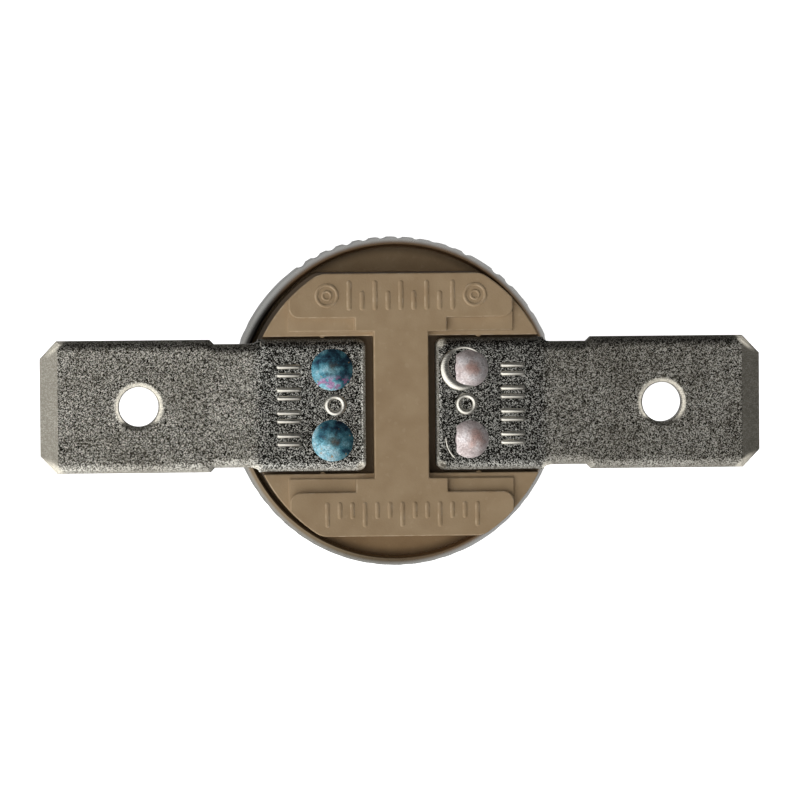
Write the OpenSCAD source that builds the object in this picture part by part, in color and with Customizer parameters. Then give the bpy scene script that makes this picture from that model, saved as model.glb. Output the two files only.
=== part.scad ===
// Bimetal disc thermostat with two blade terminals.
// A drawn cup is crimped round a moulded base. The snap disc in the cup lifts a pin,
// the pin lifts a spring arm, and the arm parts the contacts.
// Millimetres, Z up. The origin is the middle of the flat sensing face under the cup.

/* [Snap disc] */
// Diameter of the bimetal disc
disc_d = 12.7; // [11.5:0.1:14]
// Thickness of the bimetal disc
disc_t = 0.2; // [0.15:0.01:0.3]
// Height of the disc's dome, the same cold and hot
disc_rise = 0.2; // [0.12:0.01:0.3]

/* [Cup] */
// Wall thickness of the cup
cup_wall = 0.35; // [0.25:0.01:0.5]
// Thickness of the sensing face
cup_floor = 0.45; // [0.3:0.01:0.7]
// Outside radius of the sensing face's edge
cup_corner = 0.6; // [0.3:0.05:0.8]
// Width of the shelf that carries the pin guide
shelf_w = 1.15; // [0.9:0.01:1.4]
// Height of the crimped lip above the base's shoulder
lip_h = 0.6; // [0.4:0.05:1]
// How far the lip is rolled in over the shoulder
lip_roll = 0.13; // [0.08:0.01:0.25]
// Radius of the round down to the lip's inner edge
lip_round = 0.34; // [0.1:0.01:0.36]
// Radius of the lip's outer edge
rim_round = 0.12; // [0.05:0.01:0.15]
// Outside radius where the shelf meets the rim
shelf_round = 0.3; // [0.1:0.05:0.5]
// Number of knurl grooves round the rim
knurl_count = 60; // [36:2:72]
// Radius of one knurl groove
knurl_r = 0.45; // [0.3:0.01:0.6]
// Depth of a knurl groove
knurl_depth = 0.08; // [0.04:0.01:0.12]

/* [Pin and pin guide] */
// Diameter of the transfer pin
pin_d = 1.2; // [0.9:0.05:1.4]
// Height of the round on each end of the pin
pin_round = 0.2; // [0.1:0.05:0.3]
// Thickness of the pin guide's plate
guide_t = 0.8; // [0.6:0.05:1.2]
// Height of the skirt that keeps the disc on its seat
skirt_h = 1; // [0.8:0.05:1.5]
// Width of the skirt
skirt_w = 0.5; // [0.3:0.05:0.8]
// Diameter of the guide's hub
hub_d = 2.8; // [2:0.1:3.4]

/* [Base] */
// Thickness of the flange held by the lip
flange_t = 1.4; // [1:0.1:2]
// Height of the boss above the flange
boss_h = 5.4; // [5:0.1:7]
// Depth of the two flats on the boss
flat_depth = 1.09; // [0.6:0.01:1.4]
// Radius where a flat meets the round side
flat_round = 1; // [0.5:0.1:1.5]
// Width of the web between the terminal pockets
web_w = 2.6; // [2:0.1:3]
// Width of the web's shoulders beside the bars
waist_w = 4.4; // [3.4:0.1:5.4]
// Length of the raised bars
bar_l = 10.74; // [9:0.1:12]
// Width of the raised bars
bar_w = 2.12; // [1.6:0.01:2.4]
// Corner radius of the raised bars
bar_round = 0.5; // [0.2:0.05:0.7]
// Height of the raised bars and web
bar_h = 0.3; // [0.15:0.05:0.4]
// Height of the strips beside the bars
strip_h = 0.15; // [0.05:0.05:0.25]
// Width of the low rim along the sides of the pockets
rim_w = 0.22; // [0.1:0.01:0.4]
// Depth of the terminal pockets below the bars
pocket_depth = 1.2; // [1:0.05:1.5]
// Thickness of the floor between a pocket and the switch chamber
floor_t = 1; // [0.7:0.05:1.4]
// Wall between the switch chamber and a flat
chamber_wall = 1; // [0.7:0.05:1.3]

/* [Terminals] */
// Width of the blade
tab_w = 6.35; // [5.9:0.01:6.6]
// Thickness of the blade
tab_t = 0.8; // [0.5:0.05:0.9]
// Reach of the blade's tip from the middle
tab_reach = 17.28; // [15:0.01:20]
// Length of the full-width blade
blade_l = 8.35; // [7:0.05:10]
// Width of the neck
neck_w = 5.92; // [5:0.01:6]
// Length of the neck, shoulders included
neck_l = 2.1; // [1.6:0.1:2.2]
// Corner cut at the tip
tip_corner = 0.85; // [0.4:0.05:1.2]
// Length of the lead-in bevel at the tip
tip_bevel = 0.8; // [0.4:0.05:1.2]
// Depth of the lead-in bevel on each face
tip_drop = 0.2; // [0.1:0.01:0.22]
// Radius of the punched top edges
edge_roll = 0.3; // [0.1:0.01:0.35]
// Corner radius of the end inside the base
root_corner = 0.4; // [0.36:0.01:0.6]
// Diameter of the detent hole
hole_d = 1.9; // [1.5:0.05:2.2]
// Distance of the detent hole from the tip
hole_set = 4.72; // [3.5:0.01:5]
// Width of the chamfer round the detent hole
hole_chamfer = 0.2; // [0.1:0.05:0.3]

/* [Rivets] */
// Distance of the rivets from the middle, along the blades
rivet_x = 3.3; // [3.1:0.05:3.5]
// Distance of the rivets from the middle, across the blades
rivet_y = 1.7; // [1.5:0.05:1.85]
// Diameter of the rivet shanks
rivet_d = 1.4; // [1:0.05:1.6]
// Diameter of the domed heads on the arm's terminal
arm_head_d = 2; // [1.8:0.05:2.2]
// Diameter of the domed heads on the contact's terminal
contact_head_d = 1.8; // [1.7:0.05:2.2]
// Distance of the flat on the contact's heads from the rivet's axis
head_flat = 0.65; // [0.5:0.05:0.8]
// Height of the domed heads
head_h = 0.18; // [0.1:0.02:0.3]
// Diameter of the flat tails inside
tail_d = 2.1; // [1.8:0.05:2.3]
// Height of the flat tails
tail_h = 0.35; // [0.2:0.05:0.5]

/* [Contacts] */
// Depth of the arm below the chamber's roof
arm_drop = 1.2; // [1:0.05:1.5]
// Thickness of the spring arm
arm_t = 0.15; // [0.1:0.01:0.2]
// Radius of the arm's free end
arm_tip_r = 0.95; // [0.8:0.05:1.05]
// Distance of the contacts from the middle
contact_x = 1.5; // [1.4:0.05:1.6]
// Diameter of the contact faces
contact_d = 1.4; // [1:0.05:1.4]
// Height of each contact
contact_h = 0.3; // [0.2:0.02:0.4]
// Diameter of the contacts' shanks
contact_shank_d = 0.7; // [0.5:0.05:0.9]
// Height of the contacts' riveted tails
contact_tail_h = 0.12; // [0.08:0.01:0.2]
// Thickness of the fixed contact's carrier
carrier_t = 0.4; // [0.3:0.05:0.5]
// Thickness of the arm's clamp plate
clamp_t = 0.4; // [0.3:0.05:0.5]
// Length of the arm's root, the clamp and the carrier's foot along the blades
plate_l = 2.2; // [2:0.1:2.4]
// Width of the arm's root, the clamp and the carrier's foot
plate_w = 5.5; // [5:0.1:5.8]

/* [Clearances] */
// Radial gap of pieces that sit inside each other
fit_gap = 0.05; // [0.02:0.01:0.08]
// Radial play of the disc in its chamber
disc_play = 0.15; // [0.08:0.01:0.25]
// Height of the play between the disc's rim and the skirt
rim_play = 0.1; // [0.05:0.01:0.2]
// Gap under the cold disc
disc_under = 0.05; // [0.02:0.01:0.1]
// Gap between the lip and the boss
boss_gap = 0.13; // [0.05:0.01:0.2]
// Gap beside a blade in its pocket
tab_gap = 0.125; // [0.08:0.005:0.2]
// Gap between a blade's inner end and the web
tab_end_gap = 0.38; // [0.2:0.01:0.5]
// Play between the pin and the arm
pin_play = 0.08; // [0.04:0.01:0.15]
// Gap between the pin and the cold disc
pin_rest_gap = 0.02; // [0.01:0.01:0.05]
// Gap between the pin and the carrier
carrier_gap = 0.15; // [0.1:0.01:0.25]
// Gap between the guide's hub and the carrier
hub_gap = 0.4; // [0.2:0.05:0.6]
// Gap round the arm's free end
notch_gap = 0.35; // [0.2:0.05:0.5]

/* [Hidden] */
$fn = 96;
// Depth that a cut runs past the face it opens
over = 0.5;
// Depth that a joined feature is sunk into what carries it
sink = 0.2;

// Heights, from the sensing face up
seat_z = cup_floor + disc_under + disc_rise;
rim_top_z = seat_z + disc_t;
skirt_z = rim_top_z + rim_play;
shelf_z = skirt_z + skirt_h;
guide_top_z = shelf_z + guide_t;
shoulder_z = guide_top_z + flange_t;
lip_z = shoulder_z + lip_h;
top_z = shoulder_z + boss_h;
strip_z = top_z - bar_h;
field_z = strip_z - strip_h;
pocket_z = top_z - pocket_depth;
tab_top_z = pocket_z + tab_t;
roof_z = pocket_z - floor_t;
arm_top_z = roof_z - arm_drop;
arm_z = arm_top_z - arm_t;
fixed_face_z = arm_z - contact_h;
carrier_top_z = fixed_face_z - contact_h;
carrier_z = carrier_top_z - carrier_t;
clamp_z = arm_z - clamp_t;
hub_z = carrier_z - hub_gap;
pin_z = seat_z - disc_rise + disc_t + pin_rest_gap;
pin_top_z = arm_z - pin_play;

// Radii about the middle
disc_r = disc_d / 2;
seat_r = disc_r + disc_play;
neck_r = seat_r + cup_wall;
bore_r = seat_r + shelf_w;
cup_r = bore_r + cup_wall;
lip_r = bore_r - lip_roll;
flange_r = bore_r - fit_gap;
boss_r = lip_r - boss_gap;
flat_y = boss_r - flat_depth;
chamber_r = flat_y - chamber_wall;
skirt_r = seat_r - fit_gap;
pin_bore_r = pin_d / 2 + fit_gap;
rivet_hole_r = rivet_d / 2 + fit_gap;

// Smallest flat left on top of the lip between its two rounds
lip_flat = 0.02;
lip_inner_round = min(lip_round, cup_r - lip_r - rim_round - lip_flat);

// Disc seat: its width inside the disc's rim, and its fall over that width
seat_w = 0.5;
seat_fall = 0.1;

// Places along the blades
pocket_x = web_w / 2;
pocket_y = tab_w / 2 + tab_gap;
tab_x = pocket_x + tab_end_gap;
blade_x = tab_reach - blade_l;
root_end_x = blade_x - neck_l;
shoulder_cut = (tab_w - neck_w) / 2;
plate_x = rivet_x - plate_l / 2;
hole_x = tab_reach - hole_set;

// Crush ribs that centre a blade in its pocket
rib_r = 0.14;
rib_x = 3.75;

// Points of an arc, from angle a to angle b
function arc(centre, r, a, b, steps = 6) =
    [for (i = [0:steps]) let (t = a + (b - a) * i / steps) centre + r * [cos(t), sin(t)]];

// Height of the cold disc's underside at radius r
function dish(r) = seat_z - disc_rise * (1 - pow(r / disc_r, 2));

module both_rows() {
    for (side = [-1, 1]) translate([0, side * rivet_y, 0]) children();
}

// The drawn cup: sensing face, disc seat, shelf and crimped lip
module cup_shell() {
    shelf_under_z = shelf_z - cup_wall;
    rotate_extrude() polygon(concat(
        [[0, 0]],
        arc([neck_r - cup_corner, cup_corner], cup_corner, -90, 0),
        [[neck_r, shelf_under_z]],
        arc([cup_r - shelf_round, shelf_under_z + shelf_round], shelf_round, -90, 0),
        arc([cup_r - rim_round, lip_z - rim_round], rim_round, 0, 90),
        arc([lip_r + lip_inner_round, lip_z - lip_inner_round], lip_inner_round, 90, 180),
        [
            [lip_r, shoulder_z], [bore_r, shoulder_z], [bore_r, shelf_z],
            [seat_r, shelf_z], [seat_r, seat_z], [disc_r, seat_z],
            [disc_r - seat_w, seat_z - seat_fall], [disc_r - seat_w, cup_floor], [0, cup_floor]
        ]
    ));
}

// Straight grooves of the rim's knurl
module knurl_grooves() {
    for (i = [0:knurl_count - 1]) rotate(i * 360 / knurl_count)
        translate([cup_r - knurl_depth + knurl_r, 0, shelf_z - cup_wall - over])
            cylinder(r = knurl_r, h = lip_z, $fn = 32);
}

module cup() {
    color("silver") difference() {
        cup_shell();
        knurl_grooves();
    }
}

// Outline of the boss: a round with two flats and rounded corners between them
module boss_outline() {
    corner_y = flat_y - flat_round;
    corner_x = sqrt(pow(boss_r - flat_round, 2) - pow(corner_y, 2));
    side = atan2(corner_y, corner_x);
    polygon(concat(
        arc([0, 0], boss_r, -side, side, 40),
        arc([corner_x, corner_y], flat_round, side, 90),
        arc([-corner_x, corner_y], flat_round, 90, 180 - side),
        arc([0, 0], boss_r, 180 - side, 180 + side, 40),
        arc([-corner_x, -corner_y], flat_round, 180 + side, 270),
        arc([corner_x, -corner_y], flat_round, 270, 360 - side)
    ));
}

// A bar along one flat, with its two inner corners rounded
module bar_outline() {
    x = bar_l / 2;
    y = flat_y - bar_w;
    polygon(concat(
        [[x, boss_r]], [[-x, boss_r]],
        arc([-x + bar_round, y + bar_round], bar_round, 180, 270),
        arc([x - bar_round, y + bar_round], bar_round, 270, 360)
    ));
}

// Raised bars, waist and web on top of the boss
module raised_outline() {
    intersection() {
        boss_outline();
        union() {
            for (side = [0, 1]) mirror([0, side, 0]) {
                bar_outline();
                translate([-waist_w / 2, pocket_y + rim_w])
                    square([waist_w, flat_y - bar_w / 2 - pocket_y - rim_w]);
            }
            square([web_w, 2 * flat_y - bar_w], center = true);
        }
    }
}

// The strips between the bars and the pockets, as long as the bars
module strip_outline() {
    intersection() {
        boss_outline();
        for (side = [0, 1]) mirror([0, side, 0])
            translate([-bar_l / 2, pocket_y + rim_w]) square([bar_l, boss_r]);
    }
}

module pockets() {
    for (side = [0, 1]) mirror([side, 0, 0])
        translate([pocket_x, -pocket_y, pocket_z])
            cube([boss_r, 2 * pocket_y, pocket_depth + over]);
}

// Switch chamber, less the two ledges that the arm and the carrier are riveted to
module chamber() {
    difference() {
        translate([0, 0, guide_top_z - over])
            cylinder(r = chamber_r, h = roof_z - guide_top_z + over);
        translate([-plate_x - boss_r, -boss_r, arm_top_z]) cube([boss_r, 2 * boss_r, boss_h]);
        difference() {
            translate([plate_x, -boss_r, carrier_top_z]) cube([boss_r, 2 * boss_r, boss_h]);
            translate([contact_x, 0, carrier_top_z - over])
                cylinder(r = arm_tip_r + notch_gap, h = boss_h);
        }
    }
}

module rivet_holes() {
    for (x = [-rivet_x, rivet_x]) both_rows()
        translate([x, 0, 0]) cylinder(r = rivet_hole_r, h = top_z + over);
}

module crush_ribs() {
    for (x = [-rib_x, rib_x], side = [-1, 1])
        translate([x, side * (pocket_y + rib_r - tab_gap + fit_gap), pocket_z - sink])
            cylinder(r = rib_r, h = tab_t, $fn = 24);
}

module base() {
    color("tan") union() {
        difference() {
            union() {
                translate([0, 0, guide_top_z]) cylinder(r = flange_r, h = flange_t);
                translate([0, 0, shoulder_z - sink])
                    linear_extrude(field_z - shoulder_z + sink) boss_outline();
                translate([0, 0, field_z - sink]) linear_extrude(strip_h + sink) strip_outline();
                translate([0, 0, strip_z - sink]) linear_extrude(bar_h + sink) raised_outline();
            }
            pockets();
            chamber();
            rivet_holes();
        }
        crush_ribs();
    }
}

// Inset and drop of the layers that make a rolled edge, in edge radii
ROLL = [for (a = [0:30:90]) [1 - cos(a), 1 - sin(a)]];

// A convex plate from x0 to x1 with its punched top edges rolled over
module rolled_plate(x0, x1, w) {
    for (step = ROLL) {
        inset = step[0] * edge_roll;
        translate([x0 + inset, -w / 2 + inset, 0])
            cube([x1 - x0 - 2 * inset, w - 2 * inset, tab_t - step[1] * edge_roll]);
    }
}

// The end in the pocket, with its two inner corners rounded
module terminal_root() {
    hull() {
        rolled_plate(tab_x + root_corner, root_end_x, tab_w);
        for (step = ROLL, side = [-1, 1])
            translate([tab_x + root_corner, side * (tab_w / 2 - root_corner), 0])
                cylinder(r = root_corner - step[0] * edge_roll, h = tab_t - step[1] * edge_roll, $fn = 32);
    }
}

// The neck, run well into the root and the blade so that its rolled ends are inside them
module terminal_neck() {
    run_in = 2 * edge_roll;
    hull() rolled_plate(root_end_x - run_in, blade_x + shoulder_cut + run_in, neck_w);
}

// The blade, with shoulders at the neck and a bevelled tip with cut corners
module terminal_blade() {
    tip_w = tab_w - 2 * tip_corner;
    slice = 0.01;
    hull() {
        rolled_plate(blade_x + shoulder_cut, tab_reach - tip_bevel, tab_w);
        rolled_plate(blade_x, tab_reach - tip_bevel, neck_w);
        translate([tab_reach - slice, -tip_w / 2, tip_drop])
            cube([slice, tip_w, tab_t - 2 * tip_drop]);
    }
}

// One terminal, pointing along +X, with its underside at z = 0
module terminal() {
    difference() {
        union() {
            terminal_root();
            terminal_neck();
            terminal_blade();
        }
        translate([hole_x, 0, -over]) cylinder(d = hole_d, h = tab_t + 2 * over);
        translate([hole_x, 0, tab_t - hole_chamfer / 2])
            cylinder(d1 = hole_d, d2 = hole_d + 4 * hole_chamfer, h = hole_chamfer);
        both_rows() translate([rivet_x, 0, -over])
            cylinder(r = rivet_hole_r, h = tab_t + 2 * over);
    }
}

module left_terminal() {
    color("gray") translate([0, 0, pocket_z]) rotate(180) terminal();
}

module right_terminal() {
    color("gray") translate([0, 0, pocket_z]) terminal();
}

// A rivet on the Z axis: a domed head on the terminal and a flat tail under the plate at z
module rivet(z, head_d) {
    dome_r = (pow(head_d / 2, 2) + pow(head_h, 2)) / (2 * head_h);
    dome_a = asin(head_d / 2 / dome_r);
    rotate_extrude() polygon(concat(
        [[0, z - tail_h], [tail_d / 2, z - tail_h], [tail_d / 2, z]],
        [[rivet_d / 2, z], [rivet_d / 2, tab_top_z]],
        arc([0, tab_top_z + head_h - dome_r], dome_r, 90 - dome_a, 90, 8)
    ));
}

module arm_rivets() {
    color("steelblue") both_rows() translate([-rivet_x, 0, 0]) rivet(clamp_z, arm_head_d);
}

// Rivets with a flat on the side of the head that faces the web
module contact_rivets() {
    color("rosybrown") both_rows() translate([rivet_x, 0, 0]) difference() {
        rivet(carrier_z, contact_head_d);
        translate([-head_flat - contact_head_d, -contact_head_d, tab_top_z])
            cube([contact_head_d, 2 * contact_head_d, head_h + over]);
    }
}

// Foot of a plate riveted in the chamber, on the +X side
module plate_foot() {
    difference() {
        intersection() {
            translate([plate_x, -plate_w / 2]) square([plate_l, plate_w]);
            circle(r = chamber_r - fit_gap);
        }
        both_rows() translate([rivet_x, 0]) circle(r = rivet_hole_r);
    }
}

// The snap disc, cold: dished towards the sensing face
module bimetal_disc() {
    rings = 12;
    radii = [for (i = [0:rings]) disc_r * i / rings];
    color("lightgray") rotate_extrude() polygon(concat(
        [for (r = radii) [r, dish(r)]],
        [for (i = [rings:-1:0]) [radii[i], dish(radii[i]) + disc_t]]
    ));
}

module pin_guide() {
    color("saddlebrown") rotate_extrude() polygon([
        [pin_bore_r, shelf_z], [skirt_r - skirt_w, shelf_z], [skirt_r - skirt_w, skirt_z],
        [skirt_r, skirt_z], [skirt_r, shelf_z], [flange_r, shelf_z], [flange_r, guide_top_z],
        [hub_d / 2, guide_top_z], [hub_d / 2, hub_z], [pin_bore_r, hub_z]
    ]);
}

module transfer_pin() {
    end_r = (pow(pin_d / 2, 2) + pow(pin_round, 2)) / (2 * pin_round);
    end_a = asin(pin_d / 2 / end_r);
    color("ivory") rotate_extrude() polygon(concat(
        arc([0, pin_z + end_r], end_r, -90, end_a - 90, 8),
        arc([0, pin_top_z - end_r], end_r, 90 - end_a, 90, 8)
    ));
}

// The spring arm: a wide riveted root that tapers to the moving contact
module contact_arm() {
    root_y = plate_w / 2 - fit_gap;
    color("goldenrod") translate([0, 0, arm_z]) linear_extrude(arm_t) difference() {
        union() {
            mirror([1, 0]) plate_foot();
            polygon([
                [-plate_x - fit_gap, root_y], [-plate_x - fit_gap, -root_y],
                [contact_x, -arm_tip_r], [contact_x, arm_tip_r]
            ]);
            translate([contact_x, 0]) circle(r = arm_tip_r);
        }
        translate([contact_x, 0]) circle(d = contact_shank_d);
    }
}

module arm_clamp() {
    color("darkgoldenrod") translate([0, 0, clamp_z]) linear_extrude(clamp_t)
        mirror([1, 0]) plate_foot();
}

module contact_carrier() {
    tongue_r = contact_x - pin_d / 2 - carrier_gap;
    color("darkgoldenrod") translate([0, 0, carrier_z]) linear_extrude(carrier_t) difference() {
        union() {
            plate_foot();
            translate([contact_x, -tongue_r]) square([plate_x - contact_x + fit_gap, 2 * tongue_r]);
            translate([contact_x, 0]) circle(r = tongue_r);
        }
        translate([contact_x, 0]) circle(d = contact_shank_d);
    }
}

// A contact rivet on the Z axis, its face up at z = 0, through a plate of thickness t
module contact(t) {
    rotate_extrude() polygon([
        [0, 0], [contact_d / 2, 0], [contact_d / 2, -contact_h], [contact_shank_d / 2, -contact_h],
        [contact_shank_d / 2, -contact_h - t], [contact_d / 2.5, -contact_h - t],
        [contact_d / 2.5, -contact_h - t - contact_tail_h], [0, -contact_h - t - contact_tail_h]
    ]);
}

module moving_contact() {
    color("gainsboro") translate([contact_x, 0, fixed_face_z]) mirror([0, 0, 1]) contact(arm_t);
}

module fixed_contact() {
    color("gainsboro") translate([contact_x, 0, fixed_face_z]) contact(carrier_t);
}

cup();
base();
left_terminal();
right_terminal();
arm_rivets();
contact_rivets();
bimetal_disc();
pin_guide();
transfer_pin();
contact_arm();
arm_clamp();
moving_contact();
contact_carrier();
fixed_contact();
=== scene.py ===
import math
import random

import bmesh
import bpy
from mathutils import Matrix, Vector


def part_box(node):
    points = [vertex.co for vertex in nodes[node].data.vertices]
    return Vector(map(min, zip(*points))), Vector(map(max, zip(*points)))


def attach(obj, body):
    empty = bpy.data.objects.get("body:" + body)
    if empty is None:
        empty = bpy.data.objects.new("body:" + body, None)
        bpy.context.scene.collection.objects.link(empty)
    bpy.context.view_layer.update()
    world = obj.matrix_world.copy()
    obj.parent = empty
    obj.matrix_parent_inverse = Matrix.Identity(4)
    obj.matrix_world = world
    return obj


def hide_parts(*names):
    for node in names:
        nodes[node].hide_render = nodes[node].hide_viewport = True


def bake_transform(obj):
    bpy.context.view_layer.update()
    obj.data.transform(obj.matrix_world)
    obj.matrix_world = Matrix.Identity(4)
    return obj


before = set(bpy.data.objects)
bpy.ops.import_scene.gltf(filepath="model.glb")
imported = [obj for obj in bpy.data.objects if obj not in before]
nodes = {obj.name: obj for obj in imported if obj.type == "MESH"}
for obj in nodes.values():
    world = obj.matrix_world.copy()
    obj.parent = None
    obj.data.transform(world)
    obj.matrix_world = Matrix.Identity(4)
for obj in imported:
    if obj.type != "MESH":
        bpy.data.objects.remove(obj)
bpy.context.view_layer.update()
scene = bpy.context.scene

MM = 0.001
TOP_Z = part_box("base")[1].z
BLADE_TOP_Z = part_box("right_terminal")[1].z

# Limits for all meshes: points to weld in millimetres, and edges to shade as sharp in degrees
WELD = 0.001
SHARP_ANGLE = 30

# The base in millimetres: its boss and flats, the levels on it, its rounds and the places left sharp
BOSS_R = 7.39
FLAT_Y = 6.3
BAR_Y = 5.25
POCKET_Z = 8.4
FIELD_Z = 9.15
STRIP_Z = 9.3
BASE_ROUND = 0.07
NOOK_X = 4.8
RIB_X = 3.75
RIB_Y = 3.27

# The terminals in millimetres, from the root out to the tip
ROOT_X = 1.68
NECK_X = 6.83
BLADE_X = 8.93
HOLE_X = 12.56
ROLL_X = 15.9
BEVEL_X = 16.46
HOLE_R = 0.95
BLADE_HALF = 3.175
NECK_HALF = 2.96
NECK_CUT = BLADE_HALF - NECK_HALF

# Out plus across on the line of the tip's cut corners, and how far the normal leans on the rolled sides
TIP_CUT = 19.6
ROLL_LEAN = 0.24

# The rivets and the arm in millimetres
RIVET_X = 3.3
RIVET_Y = 1.7
CLAMP_EDGE_X = -2.2

# The cup in millimetres: the step round its sensing face, the shelf, the wall, and the steps inside
CUP_WALL = 0.35
WALL_R = 8.0
BORE_R = WALL_R - CUP_WALL
WELL_R = 6.5
DISC_R = 6.35
SEAT_R = 5.85
STEP_R = WELL_R + CUP_WALL
STEP_ROUND = 0.6
FLOOR_Z = 0.45
SEAT_Z = 0.7
SEAT_FALL = 0.1
SHELF_Z = 2.0
SHELF_LOW_Z = SHELF_Z - CUP_WALL
SHELF_ROUND = 0.3
SHOULDER_Z = 4.2

# The cup's rim, pressed over in a slope to a crown and a rolled lip
SLOPE_Z = 4.35
SLOPE_CURVE = 1.4
SLOPE_STEPS = 9
RIM_Z = 4.8
CROWN_R = 7.66
LIP_R = 7.52
LIP_ROUND = 0.34

# The knurl, with its angles in degrees
KNURL_COUNT = 60
KNURL_DEPTH = 0.08
KNURL_R = 0.45
KNURL_HALF = 1.79
KNURL_TURN = -2.4

# What is left of the grooves by their number, as a share of the full depth. The others are rubbed away.
WORN_GROOVES = {
    4: 0.8, 6: 0.6, 8: 1.0, 9: 1.1, 11: 1.2, 12: 0.5, 13: 0.5, 14: 0.9, 15: 1.1,
    16: 1.1, 17: 1.2, 18: 1.4, 19: 1.2, 20: 1.2, 21: 1.4, 26: 0.3, 27: 0.4,
}
RUBBED_MOST = 0.25
WEAR_SEED = 11

# The camera: its lens and its place over the point it turns about in millimetres, its turns in degrees
LENS = 281.7
SENSOR_W = 36
CAMERA_ROLL = 0.58
CAMERA_LEAN = 3.6
CAMERA_NOD = 2.0
CAMERA_EYE = (-0.042, 0.208, 300.2)
PIVOT_Z = 9.0

# Light: where the softbox hangs in degrees, the cosines it fades between, and the same for the horizon
SOFTBOX_AZIMUTH = 219
SOFTBOX_ELEVATION = 40
SOFTBOX_FADE = (0.46, 0.89)
HORIZON_FADE = (-0.05, 0.4)
SOFTBOX_LIGHT = 1.45
SKY_LIGHT = 0.08
GROUND_LIGHT = 0.4

# The stage's radius in metres, and how far it lies below the part in millimetres
STAGE_R = 2.0
STAGE_DROP = 0.02


# Camera and light

def add_camera():
    """A camera almost straight above the part."""
    data = bpy.data.cameras.new("camera")
    data.sensor_width = SENSOR_W
    data.lens = LENS
    data.clip_start = 0.01
    data.clip_end = 10
    camera = bpy.data.objects.new("camera", data)
    scene.collection.objects.link(camera)
    roll = Matrix.Rotation(math.radians(CAMERA_ROLL), 4, "Z")
    lean = Matrix.Rotation(math.radians(CAMERA_LEAN), 4, "Y")
    nod = Matrix.Rotation(math.radians(CAMERA_NOD), 4, "X")
    turn = (roll @ lean @ nod).inverted()
    eye = Vector(CAMERA_EYE) * MM
    camera.matrix_world = Matrix.Translation((0, 0, PIVOT_Z * MM)) @ turn @ Matrix.Translation(eye)
    scene.camera = camera


def add_world():
    """One wide softbox high in front and to the left, a dim sky and a pale ground."""
    world = bpy.data.worlds.new("studio")
    scene.world = world
    world.use_nodes = True
    tree = world.node_tree
    direction = tree.nodes.new("ShaderNodeTexCoord").outputs["Generated"]

    def fade(axis, between, to_low, to_high):
        facing = tree.nodes.new("ShaderNodeVectorMath")
        facing.operation = "DOT_PRODUCT"
        facing.inputs[1].default_value = axis
        tree.links.new(direction, facing.inputs[0])
        level = tree.nodes.new("ShaderNodeMapRange")
        level.interpolation_type = "SMOOTHSTEP"
        level.inputs["From Min"].default_value = between[0]
        level.inputs["From Max"].default_value = between[1]
        level.inputs["To Min"].default_value = to_low
        level.inputs["To Max"].default_value = to_high
        tree.links.new(facing.outputs["Value"], level.inputs["Value"])
        return level.outputs["Result"]

    azimuth = math.radians(SOFTBOX_AZIMUTH)
    elevation = math.radians(SOFTBOX_ELEVATION)
    reach = math.cos(elevation)
    softbox_axis = (reach * math.cos(azimuth), reach * math.sin(azimuth), math.sin(elevation))
    total = tree.nodes.new("ShaderNodeMath")
    total.operation = "ADD"
    tree.links.new(fade(softbox_axis, SOFTBOX_FADE, 0, SOFTBOX_LIGHT), total.inputs[0])
    tree.links.new(fade((0, 0, 1), HORIZON_FADE, GROUND_LIGHT, SKY_LIGHT), total.inputs[1])
    background = tree.nodes["Background"]
    background.inputs["Color"].default_value = (1, 1, 1, 1)
    tree.links.new(total.outputs[0], background.inputs["Strength"])


def new_mesh(name, bm):
    mesh = bpy.data.meshes.new(name)
    bm.to_mesh(mesh)
    bm.free()
    return mesh


def add_stage():
    """A white floor and backdrop that the camera sees. The world lights the part in their place."""
    floor = bmesh.new()
    bmesh.ops.create_grid(floor, x_segments=1, y_segments=1, size=STAGE_R)
    backdrop = bmesh.new()
    bmesh.ops.create_uvsphere(backdrop, u_segments=48, v_segments=24, radius=STAGE_R)
    white = bpy.data.materials.new("stage_white")
    white.use_nodes = True
    shader = white.node_tree.nodes["Principled BSDF"]
    shader.inputs["Base Color"].default_value = (0.9, 0.9, 0.9, 1)
    shader.inputs["Emission Color"].default_value = (1, 1, 1, 1)
    shader.inputs["Emission Strength"].default_value = 1.0
    for mesh in (new_mesh("floor", floor), new_mesh("backdrop", backdrop)):
        mesh.materials.append(white)
        piece = bpy.data.objects.new(mesh.name, mesh)
        scene.collection.objects.link(piece)
        piece.visible_diffuse = False
        piece.visible_glossy = False
        piece.visible_shadow = False
        piece.location.z = -STAGE_DROP * MM


# Materials

def tint(r, g, b):
    """A colour read as screen values from 0 to 255, as the linear colour that shaders take."""
    linear = [((c / 255 + 0.055) / 1.055) ** 2.4 if c > 10 else c / 255 / 12.92 for c in (r, g, b)]
    return (*linear, 1.0)


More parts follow.
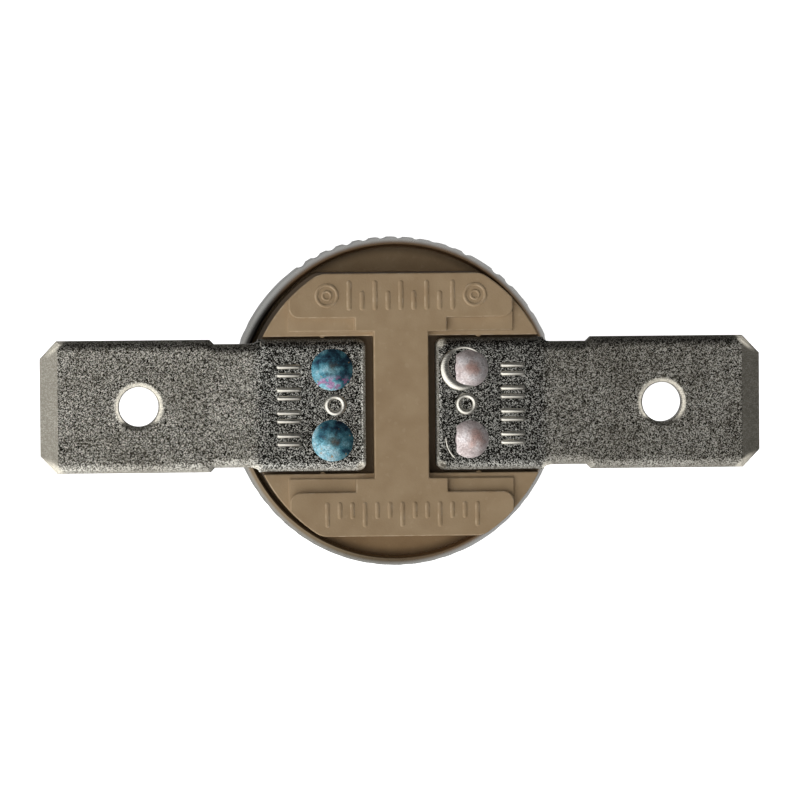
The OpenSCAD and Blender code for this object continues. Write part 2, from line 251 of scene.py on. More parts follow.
class Paint:
    """One material, built from nodes on the part's own coordinates in millimetres."""

    def __init__(self, name, metallic, specular=0.5):
        self.material = bpy.data.materials.new(name)
        self.material.use_nodes = True
        self.tree = self.material.node_tree
        self.shader = self.tree.nodes["Principled BSDF"]
        self.shader.inputs["Metallic"].default_value = metallic
        self.shader.inputs["Specular IOR Level"].default_value = specular
        place = self.tree.nodes.new("ShaderNodeTexCoord").outputs["Object"]
        self.place = self.vector("MULTIPLY", place, (1 / MM, 1 / MM, 1 / MM))
        self.facing = self.tree.nodes.new("ShaderNodeNewGeometry").outputs["Normal"]

    def feed(self, socket, value):
        if isinstance(value, bpy.types.NodeSocket):
            self.tree.links.new(value, socket)
        else:
            socket.default_value = value

    def math(self, operation, a, b=0.0, clamp=False):
        node = self.tree.nodes.new("ShaderNodeMath")
        node.operation = operation
        node.use_clamp = clamp
        self.feed(node.inputs[0], a)
        self.feed(node.inputs[1], b)
        return node.outputs[0]

    def plus(self, a, b):
        return self.math("ADD", a, b)

    def minus(self, a, b):
        return self.math("SUBTRACT", a, b)

    def times(self, a, b):
        return self.math("MULTIPLY", a, b)

    def most(self, a, b):
        return self.math("MAXIMUM", a, b)

    def sign(self, value):
        return self.math("SIGN", value)

    def absolute(self, value):
        return self.math("ABSOLUTE", value)

    def distance(self, across, along):
        """Length of the flat vector with these two parts."""
        return self.math("SQRT", self.plus(self.times(across, across), self.times(along, along)))

    def span(self, value, low, high, to_low=0.0, to_high=1.0):
        """A soft step from one level to another, as the value goes from low to high."""
        node = self.tree.nodes.new("ShaderNodeMapRange")
        node.interpolation_type = "SMOOTHSTEP"
        self.feed(node.inputs["Value"], value)
        node.inputs["From Min"].default_value = low
        node.inputs["From Max"].default_value = high
        node.inputs["To Min"].default_value = to_low
        node.inputs["To Max"].default_value = to_high
        return node.outputs["Result"]

    def fall(self, value, low, high, top=1.0):
        """A soft step down to nothing."""
        return self.span(value, low, high, top, 0.0)

    def near(self, value, middle, inner, outer):
        """1 within the inner distance from the middle, 0 beyond the outer one."""
        return self.fall(self.absolute(self.minus(value, middle)), inner, outer)

    def vector(self, operation, a, b=(0, 0, 0)):
        node = self.tree.nodes.new("ShaderNodeVectorMath")
        node.operation = operation
        self.feed(node.inputs[0], a)
        self.feed(node.inputs[1], b)
        return node.outputs["Vector"]

    def bend(self, facing, push):
        """A normal that is pushed over by a vector."""
        return self.vector("NORMALIZE", self.vector("ADD", facing, push))

    def join(self, x=0.0, y=0.0, z=0.0):
        node = self.tree.nodes.new("ShaderNodeCombineXYZ")
        for socket, value in zip(node.inputs, (x, y, z)):
            self.feed(socket, value)
        return node.outputs[0]

    def axes(self, vector=None):
        """The three parts of a vector, or of the place on the part."""
        node = self.tree.nodes.new("ShaderNodeSeparateXYZ")
        self.feed(node.inputs[0], vector or self.place)
        return node.outputs

    def tilt(self):
        """How far the surface leans: 0 on level faces, 1 on upright ones."""
        return self.minus(1.0, self.absolute(self.axes(self.facing)[2]))

    def noise(self, scale, detail=2.0, vector=None):
        node = self.tree.nodes.new("ShaderNodeTexNoise")
        self.feed(node.inputs["Vector"], vector or self.place)
        node.inputs["Scale"].default_value = scale
        node.inputs["Detail"].default_value = detail
        return node.outputs["Fac"]

    def cells(self, scale):
        """A random grey per cell, with that many cells to a millimetre."""
        node = self.tree.nodes.new("ShaderNodeTexVoronoi")
        self.feed(node.inputs["Vector"], self.place)
        node.inputs["Scale"].default_value = scale
        split = self.tree.nodes.new("ShaderNodeSeparateColor")
        self.tree.links.new(node.outputs["Color"], split.inputs[0])
        return split.outputs[0]

    def ramp(self, value, *stops):
        node = self.tree.nodes.new("ShaderNodeValToRGB")
        self.feed(node.inputs["Fac"], value)
        elements = node.color_ramp.elements
        while len(elements) < len(stops):
            elements.new(0.5)
        for element, (at, colour) in zip(elements, stops):
            element.position = at
            element.color = colour
        return node.outputs["Color"]

    def mix(self, share, a, b, blend="MIX"):
        node = self.tree.nodes.new("ShaderNodeMix")
        node.data_type = "RGBA"
        node.blend_type = blend
        self.feed(node.inputs[0], share)
        self.feed(node.inputs[6], a)
        self.feed(node.inputs[7], b)
        return node.outputs[2]

    def bump(self, height, depth, strength, under=None):
        """Bump of that depth in millimetres, on the part's own normal or on the one given as under."""
        node = self.tree.nodes.new("ShaderNodeBump")
        node.inputs["Strength"].default_value = strength
        node.inputs["Distance"].default_value = depth * MM
        self.feed(node.inputs["Height"], height)
        if under:
            self.tree.links.new(under, node.inputs["Normal"])
        return node.outputs["Normal"]

    def finish(self, colour, roughness, normal):
        self.feed(self.shader.inputs["Base Color"], colour)
        self.feed(self.shader.inputs["Roughness"], roughness)
        self.feed(self.shader.inputs["Normal"], normal)
        return self.material


def rolled_edges(paint, x, y):
    """Lean of the wide soft rolls along the punched sides, and of the one at the left root's end."""
    out = paint.absolute(x)
    past_root = paint.span(out, NECK_X - 0.03, NECK_X + 0.12)
    neck = paint.times(past_root, paint.fall(out, BLADE_X - 0.03, BLADE_X + 0.17, NECK_CUT))
    inset = paint.plus(paint.minus(paint.absolute(y), BLADE_HALF), neck)
    roll = paint.times(paint.span(inset, -0.55, -0.2, 0.0, ROLL_LEAN), paint.sign(y))
    past_end = paint.plus(x, ROOT_X)
    end_roll = paint.span(past_end, -0.42, -0.12, 0.0, -0.5)
    end_roll = paint.times(end_roll, paint.fall(past_end, 0.18, 0.68))
    return roll, end_roll


def painted_highlights(paint, x, y, tilt):
    """Painted highlights at the holes, the tips' corners, the roots' corners and the lower shoulders,
    where the normal also leans to the light.

    Gives how bright they are and how far they lean.
    """
    out = paint.absolute(x)
    side = paint.absolute(y)
    right = paint.minus(x, paint.times(paint.sign(x), HOLE_X))
    off_hole = paint.minus(paint.distance(right, y), HOLE_R)
    ring = paint.times(paint.span(off_hole, 0.02, 0.07), paint.fall(off_hole, 0.09, 0.29))
    ring = paint.times(ring, paint.span(y, -HOLE_R, 0.4 - HOLE_R))
    ring_lean = paint.times(ring, paint.span(right, -0.8, 0.2, 0.7, 0.25))

    off_cut = paint.minus(paint.plus(out, side), TIP_CUT)
    corner = paint.span(side, BLADE_HALF - 0.875, BLADE_HALF - 0.175)
    corner = paint.times(corner, paint.span(off_cut, -0.5, -0.2))
    corner_lean = paint.times(corner, paint.span(x, -1.0, 1.0, 0.32, 0.7))

    # Of the roots' corners, the left one's upper corner gets no painted highlight
    off_spot = paint.distance(paint.minus(out, ROOT_X + 0.22), paint.minus(side, BLADE_HALF - 0.195))
    dull = paint.times(paint.fall(x, -0.1, 0.1), paint.span(y, -0.1, 0.1))
    spot = paint.times(paint.fall(off_spot, 0.1, 0.34), paint.minus(1.0, dull))
    off_fillet = paint.distance(paint.minus(out, NECK_X + 0.17), paint.minus(side, NECK_HALF + 0.08))
    fillet = paint.times(paint.fall(off_fillet, 0.1, 0.3), paint.fall(y, -0.1, 0.1))
    fillet = paint.times(fillet, paint.fall(tilt, 0.2, 0.5, 0.75))
    spot = paint.most(spot, fillet)

    bright = paint.most(ring, paint.most(corner, spot))
    lean = paint.most(paint.most(ring_lean, corner_lean), paint.times(spot, 0.32))
    return bright, lean


def grain_colour(paint, out, grain):
    """From dark to bright grain, darker on the root inside the base."""
    outer = paint.ramp(
        grain,
        (0.16, tint(22, 20, 16)),
        (0.5, tint(128, 124, 113)),
        (0.84, tint(255, 252, 242)),
    )
    inner = paint.ramp(
        grain,
        (0.2, tint(6, 6, 5)),
        (0.56, tint(56, 54, 48)),
        (0.86, tint(255, 254, 246)),
    )
    return paint.mix(paint.span(out, NECK_X - 0.23, NECK_X + 0.47), inner, outer)


def nickel():
    """Matte plating: a fine bright and dark grain, smooth where it was coined, with painted highlights
    and painted shade.
    """
    paint = Paint("terminal_plating", metallic=1.0)
    x, y, _ = paint.axes()
    out = paint.absolute(x)
    tilt = paint.tilt()
    up = paint.sign(paint.axes(paint.facing)[2])
    roll, end_roll = rolled_edges(paint, x, y)
    bright, lean = painted_highlights(paint, x, y, tilt)

    # The tip's bevel starts nearer the tip than the rolled edge behind it. Narrow slopes are softened.
    toward_light = (-1.0, -0.8, 0.0)
    bevel = paint.span(out, BEVEL_X - 0.04, BEVEL_X)
    level = paint.times(paint.span(out, ROLL_X, ROLL_X + 0.1), paint.minus(1.0, bevel))
    level = paint.times(level, paint.fall(tilt, 0.05, 0.08))
    soft = paint.times(paint.span(tilt, 0.03, 0.3), paint.fall(tilt, 0.8, 0.95, 1.5))
    facing = paint.mix(level, paint.facing, paint.join(z=up))
    facing = paint.vector("ADD", facing, paint.join(end_roll, roll, paint.times(soft, up)))
    facing = paint.bend(facing, paint.vector("MULTIPLY", paint.join(lean, lean), toward_light))

    # Painted light and shade: the grain is painted lighter on the rolls that lean to the light, and
    # darker on the others
    fine = paint.cells(26.0)
    grain = paint.plus(paint.times(fine, 0.86), paint.times(paint.cells(12.0), 0.14))
    shade = paint.span(roll, 0.0, ROLL_LEAN)
    glint = paint.plus(paint.times(roll, -1.0), paint.times(end_roll, -0.3))
    glint = paint.plus(glint, paint.times(shade, 0.2))
    colour = grain_colour(paint, out, paint.plus(grain, glint))
    stain = paint.span(paint.noise(0.35, 3.0), 0.35, 0.7, 0.05, 0.3)
    colour = paint.mix(stain, colour, tint(124, 114, 92), "MULTIPLY")
    coined = paint.most(paint.span(tilt, 0.05, 0.12, 0.0, 0.6), bevel)
    colour = paint.mix(paint.times(coined, 0.75), colour, tint(170, 165, 153))
    # Painted shade on the upper rolled edges, which lean away from the light
    colour = paint.mix(paint.times(shade, 0.3), colour, tint(52, 50, 46))
    # Painted highlights at the holes, the tips' corners, the roots' corners and the lower shoulders
    highlight_share = paint.times(bright, paint.span(grain, 0.1, 0.7, 0.5, 0.9))
    colour = paint.mix(highlight_share, colour, tint(244, 238, 222))
    # Painted shade: the right terminal is painted darker than the left
    right_shade = paint.span(x, -3.0, 3.0, 0.0, 0.35)
    colour = paint.mix(right_shade, colour, tint(150, 148, 146), "MULTIPLY")

    height = paint.times(grain, paint.minus(1.0, paint.times(coined, 0.7)))
    normal = paint.bump(height, 0.012, 0.8, under=facing)
    rough = paint.plus(paint.span(fine, 0.0, 1.0, 0.3, 0.45), paint.times(bevel, 0.12))
    return paint.finish(colour, rough, normal)


def phenolic(name, light, dark, specks):
    """Moulded thermoset: faintly cloudy, with fine filler specks, glossy and painted dark with shade on
    its deep walls.
    """
    paint = Paint(name, metallic=0.0, specular=0.25)
    x, y, z = paint.axes()
    tilt = paint.tilt()
    radius = paint.distance(x, y)
    on_top = paint.span(z, FIELD_Z - 0.15, FIELD_Z - 0.05)
    round_wall = paint.times(paint.span(radius, BOSS_R - 0.19, BOSS_R - 0.09), paint.minus(1.0, on_top))
    outside = paint.most(round_wall, paint.span(paint.absolute(y), FLAT_Y - 0.1, FLAT_Y - 0.05))
    deep = paint.most(paint.fall(z, FIELD_Z - 0.35, FIELD_Z - 0.05), outside)
    wall = paint.times(paint.span(tilt, 0.5, 0.9), deep)
    cloud = paint.noise(0.9, 4.0)
    fine = paint.noise(11.0, 2.0)
    colour = paint.mix(paint.span(cloud, 0.2, 0.8), dark, light)
    colour = paint.mix(paint.span(paint.cells(7.0), 0.95, 1.0, 0.0, 0.16), colour, specks)

    # Painted shade in the crevice at the rim, in the pockets and on the walls, and a painted black
    # shadow under the left blade
    low_down = paint.fall(z, SHOULDER_Z + 0.2, SHOULDER_Z + 1.0, 0.65)
    crevice = paint.times(paint.span(radius, BOSS_R - 0.34, BOSS_R + 0.11), low_down)
    painted_shade = paint.most(paint.most(crevice, paint.near(z, POCKET_Z, 0.02, 0.1)), wall)
    colour = paint.mix(paint.times(painted_shade, 0.7), colour, tint(44, 32, 20))
    blade_shadow = paint.times(paint.times(wall, outside), paint.fall(x, -7.2, -4.0, 0.6))
    colour = paint.mix(blade_shadow, colour, tint(16, 13, 10))
    # Painted shade low down by the shoulder, less of it towards the back
    low_shade = paint.fall(z, SHOULDER_Z + 0.4, SHOULDER_Z + 1.2)
    low_shade = paint.times(low_shade, paint.span(y, -1.0, 1.0, 0.5, 0.12))
    colour = paint.mix(low_shade, colour, tint(214, 190, 150), "MULTIPLY")

    # Shade at the feet of the raised forms, and worn light edges on top of them
    on_field = paint.near(z, FIELD_Z + 0.04, 0.02, 0.05)
    on_strip = paint.near(z, STRIP_Z + 0.04, 0.02, 0.06)
    foot = paint.times(paint.most(on_field, on_strip), paint.span(tilt, 0.01, 0.12))
    colour = paint.mix(paint.times(foot, 0.22), colour, tint(70, 52, 36))
    edge = paint.times(paint.span(tilt, 0.02, 0.1), paint.fall(tilt, 0.55, 0.75))
    edge = paint.math("SUBTRACT", paint.times(edge, on_top), foot, clamp=True)
    wear_and_sheen = paint.span(paint.noise(2.5, 4.0), 0.4, 0.7, 0.0, 0.5)
    colour = paint.mix(paint.times(edge, wear_and_sheen), colour, tint(216, 196, 166))

    height = paint.plus(paint.times(cloud, 0.5), paint.times(fine, 0.5))
    height = paint.times(height, paint.minus(1.0, wall))
    soft = paint.times(paint.span(tilt, 0.05, 0.4, 0.0, 0.8), on_top)
    soft = paint.most(soft, paint.times(wall, 0.7))
    normal = paint.bump(height, 0.025, 0.5, under=paint.bend(paint.facing, paint.join(z=soft)))
    matte = paint.span(fine, 0.3, 0.7, 0.56, 0.72)
    rough = paint.minus(matte, paint.times(wall, 0.2))
    return paint.finish(colour, rough, normal)


def drawn_aluminium():
    """Dull drawn sheet: fine upright lines, a soft bloom, scuffs, a crown painted bright and painted
    shade inside the lip.
    """
    paint = Paint("cup_sheet", metallic=0.9)
    x, y, z = paint.axes()
    radius = paint.distance(x, y)
    around = paint.times(paint.math("ARCTAN2", y, x), WALL_R)
    lines = paint.noise(6.0, 3.0, paint.join(around, paint.times(z, 0.15)))
    bloom = paint.noise(0.6, 3.0)
    scuff = paint.noise(3.5, 5.0)
    colour = paint.ramp(bloom, (0.3, tint(190, 189, 185)), (0.7, tint(206, 205, 202)))
    colour = paint.mix(paint.span(scuff, 0.58, 0.72, 0.0, 0.35), colour, tint(164, 162, 157))

    # The crown is painted bright, a painted reflection of the pale surroundings, lightest away from the
    # softbox and less so towards it
    azimuth = math.radians(SOFTBOX_AZIMUTH)
    to_light = paint.plus(paint.times(x, math.cos(azimuth)), paint.times(y, math.sin(azimuth)))
    to_light = paint.span(to_light, 1.0, 6.0)
    crown = paint.span(radius, CROWN_R - 0.02, CROWN_R + 0.08)
    crown = paint.times(crown, paint.span(z, SLOPE_Z, SLOPE_Z + 0.1))
    wear_and_sheen = paint.mix(to_light, tint(236, 235, 231), tint(196, 193, 184))
    colour = paint.mix(paint.times(crown, 0.8), colour, wear_and_sheen)

    # Painted shade and a painted brown reflection of the base inside the lip, black at the upper left
    inward = paint.minus(radius, paint.times(to_light, 0.07))
    lip_shade = paint.fall(inward, CROWN_R + 0.02, CROWN_R + 0.24, 0.94)
    lip_shade = paint.times(lip_shade, paint.span(z, SHOULDER_Z, SHOULDER_Z + 0.1))
    lip_shade_tone = paint.mix(to_light, tint(150, 118, 82), tint(120, 102, 76))
    black_shade = paint.times(paint.fall(x, -6.5, -4.5), paint.span(y, -1.0, 1.0))
    lip_shade_tone = paint.mix(black_shade, lip_shade_tone, tint(26, 22, 17))
    colour = paint.mix(lip_shade, colour, lip_shade_tone)

    height = paint.plus(paint.times(lines, 0.7), paint.times(scuff, 0.3))
    normal = paint.bump(height, 0.015, 0.4)
    dull = paint.span(scuff, 0.3, 0.7, 0.36, 0.5)
    rough = paint.minus(dull, paint.times(crown, 0.12))
    return paint.finish(colour, rough, normal)


def around_rivet(paint, x_at):
    """Place on a rivet's head: right and up from its own middle, in millimetres."""
    x, y, _ = paint.axes()
    right = paint.minus(x, x_at)
    up = paint.minus(y, paint.times(paint.sign(y), RIVET_Y))
    return right, up


def blued_heads():
    """Heat tint in patches of navy, teal and cyan with pink and gold flecks, with painted shade at the
    upper right and painted light at the lower left.
    """
    paint = Paint("rivet_blued", metallic=1.0)
    right, up = around_rivet(paint, -RIVET_X)
    patches = paint.noise(2.2, 8.0)
    on_upper = paint.span(paint.axes()[1], -0.1, 0.1)
    # Painted light and shade: the tint runs lighter to the lower left and darker to the upper right,
    # and the lower head is a little lighter
    lean = paint.plus(paint.times(right, -0.09), paint.times(up, -0.1))
    lean = paint.plus(lean, paint.fall(on_upper, 0.0, 1.0, 0.06))
    colour = paint.ramp(
        paint.plus(patches, lean),
        (0.3, tint(40, 50, 70)),
        (0.43, tint(62, 102, 122)),
        (0.54, tint(92, 154, 172)),
        (0.65, tint(140, 196, 212)),
        (0.8, tint(196, 222, 230)),
    )
    middle = paint.fall(paint.plus(paint.distance(right, up), patches), 0.45, 1.0, 0.45)
    colour = paint.mix(middle, colour, tint(136, 122, 92))
    low_side = paint.times(paint.span(up, -0.2, -0.55), on_upper)
    pink = paint.times(paint.span(paint.noise(4.0, 6.0), 0.5, 0.56, 0.0, 0.65), low_side)
    colour = paint.mix(pink, colour, tint(204, 122, 176))
    gold = paint.span(paint.noise(5.0, 3.0), 0.66, 0.72, 0.0, 0.8)
    colour = paint.mix(gold, colour, tint(206, 164, 104))
    grain = paint.cells(20.0)
    colour = paint.mix(paint.span(grain, 0.0, 1.0, 0.0, 0.35), colour, tint(30, 34, 38))
    normal = paint.bump(grain, 0.02, 0.6)
    rough = paint.span(grain, 0.0, 1.0, 0.34, 0.5)
    return paint.finish(colour, rough, normal)


def copper_heads():
    """Pale copper, redder right of the middle, with dark pits and a fine grain.

    The lower head leans a little.
    """
    paint = Paint("rivet_copper", metallic=1.0)
    right, up = around_rivet(paint, RIVET_X)
    patches = paint.noise(2.0, 4.0)
    colour = paint.ramp(
        patches,
        (0.32, tint(204, 190, 188)),
        (0.5, tint(228, 217, 215)),
        (0.68, tint(248, 242, 242)),
    )
    red = paint.distance(paint.minus(right, 0.2), up)
    red = paint.plus(red, paint.minus(patches, 0.5))
    colour = paint.mix(paint.fall(red, 0.05, 0.6, 0.65), colour, tint(206, 158, 142))
    pits = paint.span(paint.noise(8.0, 3.0), 0.6, 0.68, 0.0, 0.45)
    colour = paint.mix(pits, colour, tint(110, 84, 80))
    grain = paint.cells(14.0)
    colour = paint.mix(paint.span(grain, 0.0, 1.0, 0.0, 0.25), colour, tint(132, 112, 108))
    lean = paint.span(paint.axes()[1], -0.1, 0.1, -0.06, 0.0)
    normal = paint.bump(grain, 0.016, 0.5, under=paint.bend(paint.facing, paint.join(lean, lean)))
    rough = paint.span(grain, 0.0, 1.0, 0.36, 0.52)
    return paint.finish(colour, rough, normal)


def strip_metal(name, light, dark, roughness):
    """Rolled or stamped sheet with fine lines along X."""
    paint = Paint(name, metallic=1.0)
    lines = paint.noise(5.0, 3.0, paint.vector("MULTIPLY", paint.place, (0.2, 4.0, 4.0)))
    stain = paint.noise(0.9, 3.0)
    colour = paint.mix(paint.span(stain, 0.3, 0.7), dark, light)
    normal = paint.bump(lines, 0.008, 0.5)
    rough = paint.span(lines, 0.3, 0.7, roughness, roughness + 0.15)
    return paint.finish(colour, rough, normal)


def ceramic():
    """Unglazed steatite, faintly cloudy."""
    paint = Paint("pin_steatite", metallic=0.0)
    fine = paint.noise(8.0, 3.0)
    colour = paint.mix(paint.span(paint.noise(1.5), 0.3, 0.7), tint(214, 206, 186), tint(234, 229, 214))
    normal = paint.bump(fine, 0.015, 0.5)
    rough = paint.span(fine, 0.3, 0.7, 0.6, 0.8)
    return paint.finish(colour, rough, normal)


def dress(name, material):
    mesh = nodes[name].data
    mesh.materials.clear()
    mesh.materials.append(material)


# Pieces

def new_piece(name, bm, material):
    mesh = new_mesh(name, bm)
    mesh.materials.append(material)
    for face in mesh.polygons:
        face.use_smooth = True
    piece = bpy.data.objects.new(name, mesh)
    scene.collection.objects.link(piece)
    return piece


def ridge(bm, path, half_width, height, z, closed=False, shares=None):
    """A half-round raised stroke along a path of points in millimetres, on the face at z in metres.

    The shares, one to a point, make it narrower and lower along its way. An open stroke has round ends.
    """
    steps = 8
    sink = 0.03
    end_turns = (85, 60, 30)
    ends = shares or [1.0] * len(path)
    if not closed:
        first = Vector(path[0])
        last = Vector(path[-1])
        out_first = (first - Vector(path[1])).normalized()
        out_last = (last - Vector(path[-2])).normalized()
        rounds = [(math.sin(a), math.cos(a)) for a in (math.radians(t) for t in end_turns)]
        path = (
            [first + out_first * (half_width * reach) for reach, _ in rounds]
            + list(path)
            + [last + out_last * (half_width * reach) for reach, _ in reversed(rounds)]
        )
        ends = [width for _, width in rounds] + ends + [width for _, width in reversed(rounds)]
    count = len(path)
    rows = []
    for i, (point, share) in enumerate(zip(path, ends)):
        before = path[(i - 1) % count] if closed or i > 0 else point
        after = path[(i + 1) % count] if closed or i < count - 1 else point
        along = (Vector(after) - Vector(before)).normalized()
        side = Vector((-along.y, along.x))
        row = []
        for k in range(steps + 1):
            a = math.pi * k / steps
            flat = Vector(point) + side * (half_width * share * math.cos(a))
            rise = (height + sink) * share * math.sin(a) - sink
            row.append(bm.verts.new((flat.x * MM, flat.y * MM, z + rise * MM)))
        rows.append(row)
    for i in range(count if closed else count - 1):
        a, b = rows[i], rows[(i + 1) % count]
        for k in range(steps):
            bm.faces.new((a[k], a[k + 1], b[k + 1], b[k]))
        bm.faces.new((a[steps], a[0], b[0], b[steps]))
    if not closed:
        bm.faces.new(rows[0])
        bm.faces.new(list(reversed(rows[-1])))


def circle_path(centre, radius, start=0.0, end=360.0, steps=48):
    """Points along a circle, from the start to just before the end, in degrees."""
    turns = [math.radians(start + (end - start) * i / steps) for i in range(steps)]
    return [(centre[0] + radius * math.cos(a), centre[1] + radius * math.sin(a)) for a in turns]


def add_spring_arm(material):
    """The arm as a strip with cross cuts near its clamped root."""
    cuts = 16
    pitch = 0.05
    bm = bmesh.new()
    bm.from_mesh(nodes["contact_arm"].data)
    bmesh.ops.remove_doubles(bm, verts=bm.verts, dist=WELD * MM)
    for i in range(cuts):
        x = (CLAMP_EDGE_X + pitch * i) * MM
        geometry = bm.verts[:] + bm.edges[:] + bm.faces[:]
        bmesh.ops.bisect_plane(bm, geom=geometry, plane_co=(x, 0, 0), plane_no=(1, 0, 0))
    arm = new_piece("spring_arm", bm, material)
    for face in arm.data.polygons:
        face.use_smooth = False
    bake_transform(arm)
    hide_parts("contact_arm")


def section_round(centre, radii, start, end, steps=8):
    """Points on a round of the cup's section, as radius and height in millimetres."""
    turns = [math.radians(start + (end - start) * i / steps) for i in range(steps + 1)]
    return [(centre[0] + radii[0] * math.cos(a), centre[1] + radii[1] * math.sin(a)) for a in turns]


def cup_section():
    """The cup's section, from its sensing face round the outside and the rim to the floor inside."""
    step_middle = (STEP_R - STEP_ROUND, STEP_ROUND)
    shelf_middle = (WALL_R - SHELF_ROUND, SHELF_LOW_Z + SHELF_ROUND)
    lip_middle = (CROWN_R, RIM_Z - LIP_ROUND)
    slope = []
    for rise in (i / SLOPE_STEPS for i in range(SLOPE_STEPS)):
        radius = WALL_R - (WALL_R - CROWN_R) * rise ** SLOPE_CURVE
        slope.append((radius, SLOPE_Z + (RIM_Z - SLOPE_Z) * rise))
    return (
        section_round(step_middle, (STEP_ROUND, STEP_ROUND), -90, 0)
        + [(STEP_R, SHELF_LOW_Z)]
        + section_round(shelf_middle, (SHELF_ROUND, SHELF_ROUND), -90, 0)
        + slope
        + section_round(lip_middle, (CROWN_R - LIP_R, LIP_ROUND), 90, 180)
        + [(LIP_R, SHOULDER_Z), (BORE_R, SHOULDER_Z), (BORE_R, SHELF_Z), (WELL_R, SHELF_Z)]
        + [(WELL_R, SEAT_Z), (DISC_R, SEAT_Z), (SEAT_R, SEAT_Z - SEAT_FALL), (SEAT_R, FLOOR_Z)]
    )


def groove_radius(turn, share):
    """The wall's radius at a turn from a groove's middle, with that share of its depth left."""
    axis_r = WALL_R - KNURL_DEPTH + KNURL_R
    across = axis_r * math.sin(turn)
    cut = axis_r * math.cos(turn) - math.sqrt(max(0, KNURL_R ** 2 - across ** 2))
    return WALL_R - max(0, WALL_R - cut) * share


def add_worn_cup(material):
    """The cup with its knurl rubbed down, but for one side with grooves of uneven depths."""
    chance = random.Random(WEAR_SEED)
    pitch = math.radians(360 / KNURL_COUNT)
    half_steps = 4
    groove_step = math.radians(KNURL_HALF) / half_steps
    turns = [groove_step * i for i in range(-half_steps, half_steps + 1)] + [pitch / 2]
    rays = []
    for i in range(KNURL_COUNT):
        rubbed = chance.uniform(0.0, RUBBED_MOST)
        share = WORN_GROOVES.get(i, rubbed)
        for turn in turns:
            angle = pitch * i + turn + math.radians(KNURL_TURN)
            rays.append((math.cos(angle), math.sin(angle), groove_radius(turn, share)))
    bm = bmesh.new()
    rings = []
    for radius, z in cup_section():
        reaches = [(c, s, min(radius, wall) * MM) for c, s, wall in rays]
        rings.append([bm.verts.new((c * reach, s * reach, z * MM)) for c, s, reach in reaches])
    face_middle = bm.verts.new((0, 0, 0))
    floor_middle = bm.verts.new((0, 0, FLOOR_Z * MM))
    count = len(rays)
    for i in range(count):
        k = (i + 1) % count
        for a, b in zip(rings, rings[1:]):
            bm.faces.new((a[i], a[k], b[k], b[i]))
        bm.faces.new((face_middle, rings[0][k], rings[0][i]))
        bm.faces.new((floor_middle, rings[-1][i], rings[-1][k]))
    cup = new_piece("worn_cup", bm, material)
    cup.data.set_sharp_from_angle(angle=math.radians(SHARP_ANGLE))
    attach(cup, "housing")
    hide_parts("cup")


def stays_sharp(edge):
    """Whether an edge of the base is in a nook between a strip and a bar, or on a rib in a pocket."""
    same_level = 0.01
    rib_reach_x = 0.3
    rib_reach_y = 0.2
    middle = (edge.verts[0].co + edge.verts[1].co) / (2 * MM)
    in_nook = abs(middle.z - STRIP_Z) < same_level and abs(middle.x) > NOOK_X
    at_rib = abs(abs(middle.x) - RIB_X) < rib_reach_x and abs(abs(middle.y) - RIB_Y) < rib_reach_y
    return in_nook or (at_rib and middle.z < FIELD_Z - 0.05)


def add_soft_base(material):
    """The base with rounded moulded edges."""
    level_angle = math.radians(0.5)
    edge_angle = math.radians(35)
    bm = bmesh.new()
    bm.from_mesh(nodes["base"].data)
    bmesh.ops.remove_doubles(bm, verts=bm.verts, dist=WELD * MM)
    bmesh.ops.dissolve_limit(bm, angle_limit=level_angle, verts=bm.verts, edges=bm.edges)
    bent = [edge for edge in bm.edges if edge.calc_face_angle(0) > edge_angle]
    edges = [edge for edge in bent if not stays_sharp(edge)]
    bmesh.ops.bevel(
        bm, geom=edges, offset=BASE_ROUND * MM, segments=3, profile=0.5,
        affect="EDGES", clamp_overlap=False,
    )
    base = new_piece("soft_base", bm, material)
    normals = base.modifiers.new("normals", "WEIGHTED_NORMAL")
    normals.keep_sharp = True
    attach(base, "housing")
    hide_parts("base")


def add_neck_fillets(material):
    """Concave fillets between each terminal's neck and its wider root."""
    reach = 0.4
    overlap = 0.1
    steps = 6
    low_z = BLADE_TOP_Z - 0.75 * MM
    high_z = BLADE_TOP_Z - 0.1 * MM
    outline = [(NECK_X - overlap, NECK_HALF - overlap), (NECK_X + reach, NECK_HALF - overlap)]
    for turn in (math.radians(90 * i / steps) for i in range(steps + 1)):
        x = NECK_X + reach - reach * math.sin(turn)
        outline.append((x, NECK_HALF + NECK_CUT - NECK_CUT * math.cos(turn)))
    outline.append((NECK_X - overlap, NECK_HALF + NECK_CUT))
    count = len(outline)
    bm = bmesh.new()
    for scale_x in (-MM, MM):
        for scale_y in (-MM, MM):
            lower = [bm.verts.new((scale_x * x, scale_y * y, low_z)) for x, y in outline]
            upper = [bm.verts.new((scale_x * x, scale_y * y, high_z)) for x, y in outline]
            faces = [bm.faces.new(upper), bm.faces.new(lower)]
            for i in range(count):
                k = (i + 1) % count
                faces.append(bm.faces.new((lower[i], lower[k], upper[k], upper[i])))
            bmesh.ops.recalc_face_normals(bm, faces=faces)
    fillets = new_piece("neck_fillets", bm, material)
    fillets.data.set_sharp_from_angle(angle=math.radians(SHARP_ANGLE))
    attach(fillets, "housing")


def tick_row(bm, foot_y, pitch, reach, every, long, short, half_width, height):
    """A row of ticks on a bar from one foot line, so many to either side, every few of them long."""
    for i in range(-reach, reach + 1):
        x = pitch * i
        head_y = foot_y + (long if i % every == 0 else short)
        ridge(bm, [(x, foot_y), (x, head_y)], half_width, height, TOP_Z)


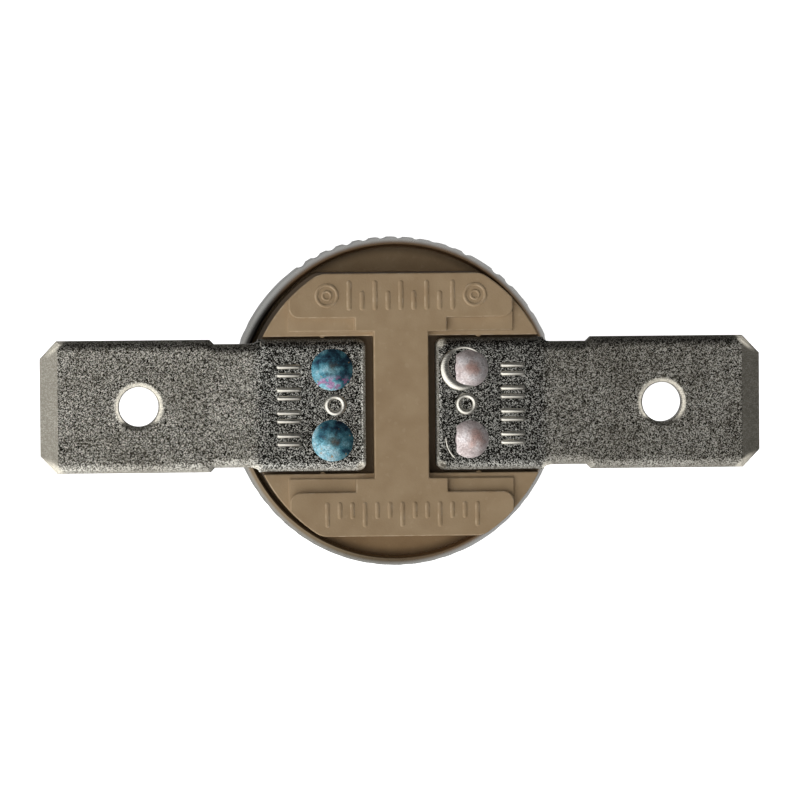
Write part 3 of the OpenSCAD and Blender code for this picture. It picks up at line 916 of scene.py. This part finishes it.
def add_base_marks(material):
    """Plain graduations and mould rings on the raised bars."""
    bm = bmesh.new()
    upper_foot = BAR_Y - 0.6
    lower_foot = 0.5 - BAR_Y
    ring_x = 3.55
    tick_row(
        bm, upper_foot, pitch=0.62, reach=4, every=2,
        long=1.2, short=0.7, half_width=0.13, height=0.06,
    )
    for x in (-ring_x, ring_x):
        outer = circle_path((x, BAR_Y), radius=0.5)
        inner = circle_path((x, BAR_Y), radius=0.2, steps=24)
        ridge(bm, outer, half_width=0.09, height=0.07, z=TOP_Z, closed=True)
        ridge(bm, inner, half_width=0.07, height=0.06, z=TOP_Z, closed=True)
    tick_row(
        bm, lower_foot, pitch=0.6, reach=6, every=3,
        long=-1.0, short=-0.6, half_width=0.12, height=0.055,
    )
    marks = new_piece("base_marks", bm, material)
    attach(marks, "housing")


def add_terminal_marks(material):
    """Coined tally strokes and a ring on the root of each terminal."""
    pair_rows = (1.65, 0.55, -0.55, -1.65)
    half_gap = 0.2
    start_x = 4.9
    end_x = 5.85
    ring_x = 3.15
    for name, side in (("left_marks", -1), ("right_marks", 1)):
        bm = bmesh.new()
        for row_y in pair_rows:
            for y in (row_y + half_gap, row_y - half_gap):
                stroke = [(side * start_x, y), (side * end_x, y)]
                ridge(bm, stroke, half_width=0.13, height=0.1, z=BLADE_TOP_Z)
        ring = circle_path((side * ring_x, 0), radius=0.4, steps=32)
        ridge(bm, ring, half_width=0.14, height=0.1, z=BLADE_TOP_Z, closed=True)
        marks = new_piece(name, bm, material)
        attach(marks, "housing")


def add_press_marks(material):
    """Bright press marks at the right-hand heads: a ring, widest at its lower left, and an arc."""
    steps = 48
    widest_at = 210
    least = 0.3
    turns = [math.radians(360 * i / steps - widest_at) for i in range(steps)]
    shares = [least + (1 - least) * max(0, math.cos(turn)) for turn in turns]
    ring = circle_path((RIVET_X - 0.25, RIVET_Y + 0.06), radius=0.96, steps=steps)
    arc = circle_path((RIVET_X + 0.15, 0.08 - RIVET_Y), radius=1.3, start=180, end=230, steps=16)
    bm = bmesh.new()
    ridge(bm, ring, half_width=0.26, height=0.12, z=BLADE_TOP_Z, closed=True, shares=shares)
    ridge(bm, arc, half_width=0.06, height=0.05, z=BLADE_TOP_Z)
    marks = new_piece("press_marks", bm, material)
    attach(marks, "housing")


add_camera()
add_world()
add_stage()
scene.view_settings.view_transform = "Standard"

tan = phenolic("base_moulding", tint(182, 157, 124), tint(169, 143, 110), tint(204, 182, 150))
brown = phenolic("guide_moulding", tint(96, 72, 50), tint(78, 58, 40), tint(120, 94, 66))
plating = nickel()
aluminium = drawn_aluminium()
brass = strip_metal("stamped_brass", tint(214, 184, 118), tint(188, 152, 92), 0.3)
silver = strip_metal("contact_alloy", tint(226, 224, 218), tint(196, 194, 190), 0.22)
bimetal = strip_metal("disc_strip", tint(190, 184, 176), tint(160, 154, 148), 0.3)
copper = strip_metal("arm_strip", tint(208, 142, 96), tint(178, 112, 72), 0.3)
bright_plating = strip_metal("coined_plating", tint(236, 232, 220), tint(208, 204, 194), 0.2)

looks = {
    "base": tan,
    "pin_guide": brown,
    "cup": aluminium,
    "left_terminal": plating,
    "right_terminal": plating,
    "arm_rivets": blued_heads(),
    "contact_rivets": copper_heads(),
    "bimetal_disc": bimetal,
    "transfer_pin": ceramic(),
    "arm_clamp": brass,
    "contact_carrier": brass,
    "moving_contact": silver,
    "fixed_contact": silver,
    "contact_arm": copper,
}
for name, material in looks.items():
    dress(name, material)

add_spring_arm(copper)
add_worn_cup(aluminium)
add_soft_base(tan)
add_neck_fillets(plating)
add_base_marks(tan)
add_terminal_marks(bright_plating)
add_press_marks(bright_plating)
